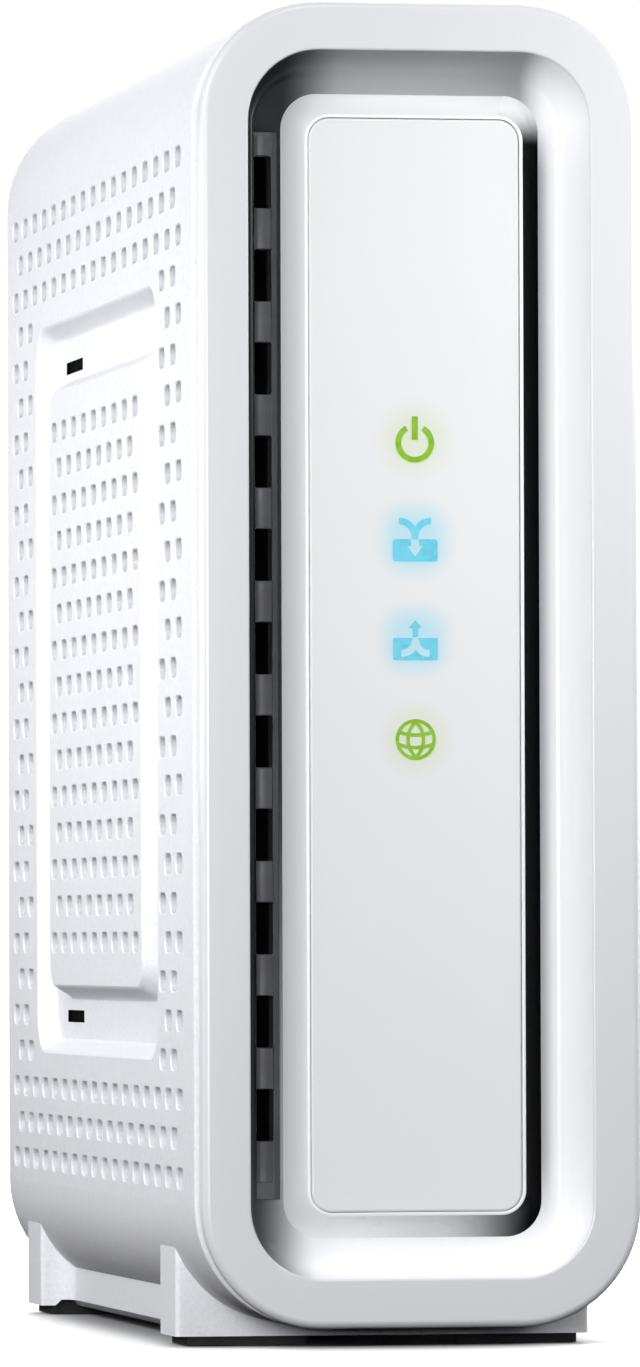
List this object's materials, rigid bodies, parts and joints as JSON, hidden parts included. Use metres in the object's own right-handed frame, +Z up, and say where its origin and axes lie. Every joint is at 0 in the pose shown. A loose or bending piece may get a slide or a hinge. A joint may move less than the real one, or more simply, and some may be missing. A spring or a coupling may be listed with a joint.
{
  "type": "cable modem",
  "caption": "Upright white cable modem with a sculpted oval-cornered front, lit icons, vented recessed sides, low pedestal feet and rear network, coaxial and power ports.",
  "frame": {"origin": "centre of the bounding box's footprint, on the surface that the feet stand on; the box includes the coaxial port that stands out behind", "axes": "+Z up, +Y from the front face to the connectors on the back, +X to the right of a person facing the front"},
  "size_m": [0.044, 0.135, 0.133],
  "materials": {
    "shell_white": "fine spark-eroded matte",
    "bezel_white": "polished gloss",
    "panel_white": "satin",
    "plate_grey": "satin gloss",
    "grille_dark": "satin",
    "trim_black": "gloss",
    "shield_black": "matte",
    "icon_green": "translucent, lit from behind",
    "icon_blue": "translucent, lit from behind",
    "clear_plastic": "clear",
    "label_silver": "satin film",
    "pad_rubber": "matte",
    "board_green": "solder mask over copper",
    "chip_black": "moulded epoxy",
    "pad_blue": "soft filled silicone",
    "sink_aluminium": "extruded",
    "tin_plate": "tin plated sheet",
    "inductor_grey": "pressed ferrite",
    "capacitor_sleeve": "sleeved can",
    "chip_tan": "ceramic",
    "led_lens": "milky",
    "jack_grey": "moulded",
    "contact_gold": "gold plated",
    "light_lens": "translucent",
    "nickel": "nickel plated",
    "insulator_white": "moulded",
    "button_red": "moulded",
    "screw_steel": "zinc plated"
  },
  "bodies": {
    "housing": {"left_shell": "shell_white", "right_shell": "shell_white", "front_bezel": "bezel_white", "vent_grille": "grille_dark", "trim_strip": "trim_black", "label_plate": "plate_grey", "power_icon": "icon_green", "downstream_icon": "icon_blue", "upstream_icon": "icon_blue", "online_icon": "icon_green", "light_guide": "clear_plastic", "light_shield": "shield_black", "rear_panel": "panel_white", "rating_label": "label_silver", "foot_pads": "pad_rubber", "main_board": "board_green", "system_chip": "chip_black", "thermal_pad": "pad_blue", "heat_sink": "sink_aluminium", "tuner_shield": "tin_plate", "memory_chips": "chip_black", "flash_chip": "chip_black", "network_chip": "chip_black", "lan_transformers": "chip_black", "crystal": "tin_plate", "inductors": "inductor_grey", "capacitors": "capacitor_sleeve", "chip_parts": "chip_tan", "status_leds": "led_lens", "ethernet_jack_1": "jack_grey", "ethernet_jack_2": "jack_grey", "jack_shields": "tin_plate", "jack_contacts": "contact_gold", "jack_lights": "light_lens", "coax_port": "nickel", "coax_insulator": "insulator_white", "coax_contact": "contact_gold", "coax_nut": "nickel", "coax_washer": "nickel", "dc_jack": "jack_grey", "dc_pin": "nickel", "reset_switch": "tin_plate", "panel_screws": "screw_steel", "board_screws": "screw_steel"},
    "reset": {"reset_button": "button_red", "reset_plunger": "insulator_white"}
  },
  "joints": [
    {"name": "reset_press", "type": "slide", "parent": "housing", "child": "reset", "axis": [0, -1, 0], "range_m": [0, 0.0005], "stiffness_N_per_m": 600, "springref_m": -0.0005}
  ]
}
